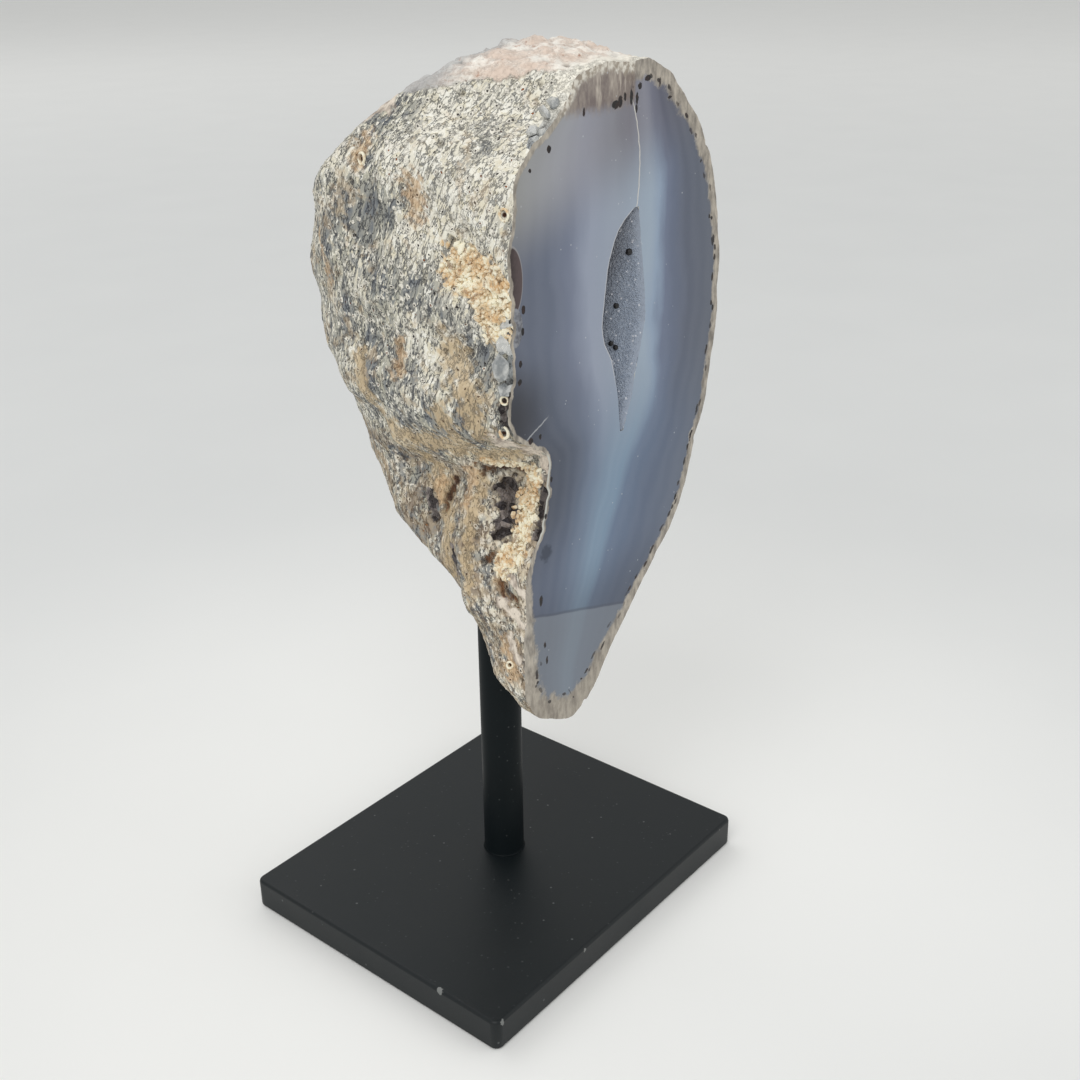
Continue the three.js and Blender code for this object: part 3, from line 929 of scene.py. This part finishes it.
# The layered rim, its thin pale line beside the notch, and the brow of rind over the face's top.
inward = to_rim / rim_width
rim_mask = (inward + (place.noise(4, 5, 0.65) - 0.5) * 1.5).rise(1.15, 0.75)
layers = place.scaled(1, 1, 0.4).noise(2.2, 4, 0.7)
rim_colour = layers.rise(0.3, 0.7).mix(srgb(126, 118, 108), srgb(200, 190, 174))
tip_colour = layers.rise(0.3, 0.7).mix(srgb(136, 126, 113), srgb(184, 174, 158))
rim_colour = height.rise(108, 84).mix(rim_colour, tip_colour)
colour = (rim_mask * 0.9).mix(colour, rim_colour)
by_notch = height.rise(136, 138) * height.rise(161, 159) * across.rise(0, -0.5)
colour = (to_rim.rise(0.9, 0.5) * by_notch * 0.9).mix(colour, srgb(206, 206, 198))
brow = (height + (layers - 0.5) * 3 + fuzz * 2 - abs(x - 2) * 0.04).rise(240.0, 243.5) * x.rise(17.5, 16)
brow_colour = layers.rise(0.35, 0.7).mix(srgb(116, 102, 96), srgb(158, 146, 134))
drips = place.scaled(1, 1, 0.2).noise(3.4, 4, 0.7).rise(0.5, 0.7) * (height + fuzz * 4).rise(241, 247)
brow_colour = (drips * 0.7).mix(brow_colour, srgb(224, 212, 196))
overhang = (to_rim + (layers - 0.5) * 6).rise(3.0, 1.6)
overhang_colour = (layers + fuzz * 1.5).rise(0.3, 0.75).mix(srgb(168, 156, 140), srgb(248, 243, 230))
brow_colour = (overhang * 0.85).mix(brow_colour, overhang_colour)
colour = (brow * 0.9).mix(colour, brow_colour)


def grains_along(step, shift, chance):
    """Dark grains along the rim's inner edge, at random one or none in each step."""
    run = round_rim / step
    number = run.math("FLOOR", run)
    dice = number.node(
        "ShaderNodeTexWhiteNoise", {"noise_dimensions": "1D"}, {"W": number + shift}, "Color"
    )
    along = (run - number - 0.25 - dice.axis("X") * 0.5) * step + fuzz * 0.6
    aside = to_rim - rim_width * (0.65 + dice.axis("Y") * 0.6) + fuzz * 0.5
    gap = along * along / 1.5 + aside * aside / 0.36
    size = dice.axis("Z")
    return gap.rise(1.0, 0.5) * size.rise(1 - chance, 1.01 - chance) * (0.5 + size * 0.5)


spots = grains_along(5.3, 0.5, 0.8).most(grains_along(3.7, 70.5, 0.3))
spots = spots * x.rise(14, 18).most(height.rise(104, 98))  # at the right and at the tip
for grain_place_and_size in GRAINS:
    ragged_oval = oval(x + fuzz * 0.8, height + fuzz * 0.9, *grain_place_and_size)
    spots = spots.most(ragged_oval.rise(1.2, 0.7))
colour = spots.mix(colour, fuzz.rise(-0.1, 0.25).mix(srgb(16, 13, 15), srgb(52, 28, 22)))

# The crack from the hollow to the crown, the hollow's bright left edge, a scratch at the notch,
# and dust.
upward = height - CRACK_Z
aside = x - CRACK_X + upward * upward * CRACK_BEND + (place.noise(3) - 0.5) * 0.8
crack = abs(aside).rise(0.3, 0.08) * height.rise(215.5, 217) * height.rise(243.5, 241)
colour = (crack * 0.85).mix(colour, srgb(224, 220, 212))
sharp = (to_mouth + fuzz * 0.3).rise(0.4, 0.15) * (x - (height - 186) * 0.16).rise(14, 10)
colour = (sharp * 0.75).mix(colour, srgb(204, 203, 206))
whisker = abs((height - 167) * 0.911 - (x + 25.4) * 0.413 + fuzz * 0.6).rise(0.3, 0.1)
whisker = whisker * x.rise(-27.5, -26) * x.rise(-17.5, -20)
colour = (whisker * 0.6).mix(colour, srgb(196, 198, 200))
specks = place.cells(2.8).rise(0.1, 0.05) * place.noise(12).rise(0.5, 0.6)
colour = (specks * 0.6).mix(colour, srgb(205, 208, 212))
finish_with(
    polish_shader,
    {"Specular IOR Level": 0.3, "Coat Weight": 0.1, "Coat Roughness": 0.05},
    height=place.noise(11, 2) * 0.5 + rim_mask * layers * 0.8 - spots * 0.3 - crack * 0.5,
    depth=0.12,
    Base_Color=colour,
    Roughness=0.2 + rim_mask * 0.15 + place.noise(6, 3) * 0.06,
)
geode.data.materials.append(rind)
geode.data.materials.append(polish)

# Growths on the skin: rounded crumbs on the peach crusts, grey quartz crystals along the
# face's edge, and the rings of the small tubes. They stand in the skin, part of the stone.
crumb, crumb_shader, place = new_material("crumb")
# Painted shade: darker brown blotches stand in for the shade in the gaps between the crumbs.
fine, crumb_gap_shade = place.noise(0.7, 4, 0.7), place.noise(2.4, 4, 0.7).rise(0.45, 0.37)
paler = (place.noise(4, 3) * 0.6 + fine * 0.4).rise(0.38, 0.56)
chalky = paler.mix(srgb(228, 194, 148), srgb(255, 249, 226))
finish_with(
    crumb_shader,
    {"Specular IOR Level": 0.3, "Roughness": 0.8},
    height=fine,
    depth=0.3,
    Base_Color=(crumb_gap_shade * 0.6).mix(chalky, srgb(142, 98, 64)),
)
clear_quartz, quartz_shader, place = new_material("clear_quartz")
facet = place.noise(3.4, 3, 0.6)
finish_with(
    quartz_shader,
    {"Transmission Weight": 0.3, "IOR": 1.54},
    height=facet,
    depth=0.12,
    Base_Color=facet.rise(0.35, 0.65).mix(srgb(158, 162, 164), srgb(238, 238, 234)),
    Roughness=0.12 + facet * 0.25,
)

growths, given = tree_for("growths", ["Crumb", "Crumb spacing", "Crystal", "Crystal spacing"])
position = given["Crumb"].node("GeometryNodeInputPosition")
parts = []
GROWTHS = [  # the growth, the patch it grows on, how round it is, and its seed
    ("Crumb", "crust", crumb, 2, 3),
    ("Crystal", "quartz", clear_quartz, 1, 8),
]
for name, kind, material, roundness, seed in GROWTHS:
    rugged = noted(position, kind) + (position.in_millimetres().noise(3.2, 4, 0.7) - 0.5)
    chosen = position.node(
        "FunctionNodeCompare", {"data_type": "FLOAT", "operation": "GREATER_THAN"}, {0: rugged, 1: 0.45}
    )
    scatter = position.node(
        "GeometryNodeDistributePointsOnFaces", {"distribute_method": "POISSON"},
        {"Mesh": given["Mesh"], "Selection": chosen, "Distance Min": given[name + " spacing"],
         "Density Max": 2e6, "Seed": seed},
    )
    ball = position.node("GeometryNodeMeshIcoSphere", None, {"Radius": 1.0, "Subdivisions": roundness})
    bumps = position.node("ShaderNodeTexNoise", None, {"Vector": position, "Scale": 1.3}, "Color")
    dents = bumps.vector("SUBTRACT", bumps, (0.5, 0.5, 0.5)).scaled(1.1, 1.1, 1.1)
    lump = position.node("GeometryNodeSetPosition", None, {"Geometry": ball, "Offset": dents})
    faceted = position.node(
        "GeometryNodeSetShadeSmooth", None, {"Geometry": lump, "Shade Smooth": False}
    )
    growth = position.node(
        "GeometryNodeSetMaterial", None, {"Geometry": faceted, "Material": material}
    )
    turn = position.node(
        "FunctionNodeRandomValue", {"data_type": "FLOAT_VECTOR"},
        {0: (0.0, 0.0, 0.0), 1: (6.28, 6.28, 6.28), "Seed": seed + 1},
    )
    size = position.node(
        "FunctionNodeRandomValue", {"data_type": "FLOAT_VECTOR"},
        {0: (0.4, 0.4, 0.4), 1: (1.35, 1.0, 0.8), "Seed": seed + 2},
    )
    parts.append(position.node(
        "GeometryNodeInstanceOnPoints", None,
        {"Points": scatter, "Instance": growth, "Rotation": turn, "Scale": size.times(given[name])},
    ))
whole = together(given["Mesh"], *parts)
realized = position.node("GeometryNodeRealizeInstances", None, {0: whole})
geode.data = grow(
    geode, growths, realized,
    {"Crumb": 1.0 * MM, "Crumb spacing": 0.9 * MM, "Crystal": 2.4 * MM, "Crystal spacing": 2.9 * MM},
)

# The tubes' rings, and larger crystals at the face's edge.
CHUNKS = [  # middle, and half size each way
    ((-33.4, -33.4, 185.8), (2.2, 2.4, 3.6)),
    ((-33.2, -33.9, 191.6), (1.5, 1.9, 2.3)),
    ((-32.6, -34.2, 180.6), (1.5, 1.7, 2.0)),
]
RING_SIDES, TUBE_SIDES = 20, 10  # round the ring, and round its thickness
FACE_SPARE = 0.03 * MM  # the growths stay this far behind the cut face
finished = bmesh.new()
finished.from_mesh(geode.data)
ring_material = list(geode.data.materials).index(crumb)
for middle, radius, thick in TUBES:
    outward = Vector((-1, 0.1 if middle[1] > 0 else -0.35, 0.15)).normalized()
    turn = outward.to_track_quat("Z", "Y")
    rounds = []
    for i in range(RING_SIDES):
        a = 2 * math.pi * i / RING_SIDES
        wavy = radius * (1 + 0.08 * math.sin(2 * a + radius * 9))
        rounds.append([
            finished.verts.new((Vector(middle) + turn @ Vector((
                (wavy + thick * math.cos(b)) * math.cos(a),
                (wavy * 1.2 + thick * math.cos(b)) * math.sin(a),
                0.2 + thick * 1.3 * math.sin(b),
            ))) * MM)
            for b in (2 * math.pi * j / TUBE_SIDES for j in range(TUBE_SIDES))
        ])
    for one, other in zip(rounds, rounds[1:] + rounds[:1]):
        for j in range(TUBE_SIDES):
            k = (j + 1) % TUBE_SIDES
            face = finished.faces.new((one[j], other[j], other[k], one[k]))
            face.smooth, face.material_index = True, ring_material
crystal_material = list(geode.data.materials).index(clear_quartz)
for middle, reach in CHUNKS:
    made = bmesh.ops.create_icosphere(finished, subdivisions=1, radius=MM)
    for i, vert in enumerate(made["verts"]):
        swell = 1 + 0.25 * math.sin(5 * i + middle[2])
        vert.co = Vector([(m + c / MM * r * swell) * MM for m, c, r in zip(middle, vert.co, reach)])
    for face in {face for vert in made["verts"] for face in vert.link_faces}:
        face.material_index = crystal_material
grown = [face for face in finished.faces if face.material_index in (ring_material, crystal_material)]
for vert in {vert for face in grown for vert in face.verts}:
    vert.co.x = max(vert.co.x, stone_low.x)
    vert.co.y = max(vert.co.y, FACE_Y + FACE_SPARE)
finished.to_mesh(geode.data)
finished.free()
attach(geode, "root")
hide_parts("agate_geode")


# Crystal crust.
# Fine grey quartz druse, grown on the wall of the hollow: thousands of six-sided tips less than
# a millimetre wide, bluer towards the right and painted darker at the left, where shade falls in
# the hollow, and a few black grains among them.
CRUST_BACK = -0.1 * MM  # its back is sunk this far in the wall of the hollow
BLACK_GRAINS = [  # middle and radius of each, on the hollow's wall
    ((18.4, -33.7, 204.7), 0.95), ((16.8, -31.0, 190.3), 0.8), ((15.0, -30.8, 180.4), 0.75),
    ((16.0, -31.6, 179.2), 0.75),
]
druse, druse_shader, place = new_material("druse")
sparkle, glint = place.cells(0.7, out="Color").axis("X"), place.cells(0.5, out="Color").axis("Y")
# Painted shade: the druse is painted darker grey at the left of the hollow, where shade falls, and bluer
# to the right, like the bands beside it.
shaded_left_blue_right = (place.axis("X") - (place.axis("Z") - 190) * 0.16 + (place.noise(6) - 0.5) * 3).rise(6, 20)
colour = shaded_left_blue_right.mix(srgb(100, 95, 96), srgb(156, 166, 181))
colour = (sparkle * 0.2).mix(colour, srgb(112, 114, 124))
colour = (glint.rise(0.97, 0.985) * 0.6).mix(colour, srgb(240, 240, 244))
finish_with(
    druse_shader,
    {"Specular IOR Level": 0.5},
    Base_Color=colour,
    Roughness=0.22 + sparkle * 0.25,
)
bed = new_object("crystal_bed", joined)
finer = bed.modifiers.new("finer", "SUBSURF")
finer.levels = finer.render_levels = 2
bed.data = applied(bed)
druse_tree, given = tree_for("druse", ["Crust", "Crystal", "Spacing", "Rim"])
position = given["Crust"].node("GeometryNodeInputPosition")
normal = position.node("GeometryNodeInputNormal")
behind = ((position.axis("Y") - FACE_Y) / given["Rim"]).least(1.0).most(0.0)


def sheet(depth):
    """The wall moved out along its normal, less and less towards the mouth."""
    move = normal.times(behind * depth)
    return position.node("GeometryNodeSetPosition", None, {"Geometry": given["Mesh"], "Offset": move})


wall, back = sheet(given["Crust"]), sheet(CRUST_BACK)
back = back.node("GeometryNodeFlipFaces", None, {0: back})
scatter = position.node(
    "GeometryNodeDistributePointsOnFaces", {"distribute_method": "POISSON"},
    {"Mesh": wall, "Distance Min": given["Spacing"], "Density Max": 9e6, "Seed": 5},
)
tip = position.node(
    "GeometryNodeMeshCone", {"fill_type": "NONE"},
    {"Vertices": 6, "Radius Bottom": 0.75, "Depth": 0.8},
)
lean = position.node(
    "FunctionNodeRandomValue", {"data_type": "FLOAT_VECTOR"},
    {0: (-0.3, -0.3, 0.0), 1: (0.3, 0.3, 6.28), "Seed": 2},
)
turned = position.node(
    "FunctionNodeRotateRotation", {"rotation_space": "LOCAL"},
    {0: Wire(druse_tree, scatter.socket.node.outputs["Rotation"]),
     1: position.node("FunctionNodeEulerToRotation", None, {0: lean})},
)
size = position.node("FunctionNodeRandomValue", {"data_type": "FLOAT"}, {2: 0.55, 3: 1.25, "Seed": 9}, 1)
broad = size * given["Crystal"] * (behind + 0.25)
long = size * given["Crystal"] * (behind + 0.1)
reach = position.node("ShaderNodeCombineXYZ", None, {0: broad, 1: broad, 2: long})
crystals = position.node(
    "GeometryNodeInstanceOnPoints", None,
    {"Points": scatter, "Instance": tip, "Rotation": turned, "Scale": reach},
)
shell = position.node(
    "GeometryNodeMergeByDistance", None, {"Geometry": together(wall, back), "Distance": 1e-6}
)
whole = together(shell, crystals)
realized = position.node("GeometryNodeRealizeInstances", None, {0: whole})
coated = position.node("GeometryNodeSetMaterial", None, {0: realized, "Material": druse})
lining = new_object("druse", grow(
    bed, druse_tree, coated,
    {"Crust": 0.3 * MM, "Crystal": 0.42 * MM, "Spacing": 0.4 * MM, "Rim": 1.5 * MM},
))
bpy.data.objects.remove(bed)
black, black_shader, place = new_material("black_grain")
pits = place.noise(0.5, 3)
finish_with(
    black_shader, {"Specular IOR Level": 0.5}, height=pits, depth=0.15,
    Base_Color=pits.mix(srgb(12, 12, 14), srgb(44, 42, 44)), Roughness=0.3 + pits * 0.3,
)
lining.data.materials.append(black)
speckled = bmesh.new()
speckled.from_mesh(lining.data)
for where, radius in BLACK_GRAINS:
    made = bmesh.ops.create_icosphere(
        speckled, subdivisions=3, radius=radius * MM, matrix=Matrix.Translation(Vector(where) * MM)
    )
    for face in {face for vert in made["verts"] for face in vert.link_faces}:
        face.material_index, face.smooth = len(lining.data.materials) - 1, True
speckled.to_mesh(lining.data)
speckled.free()
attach(lining, "root")
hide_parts("crystal_crust")
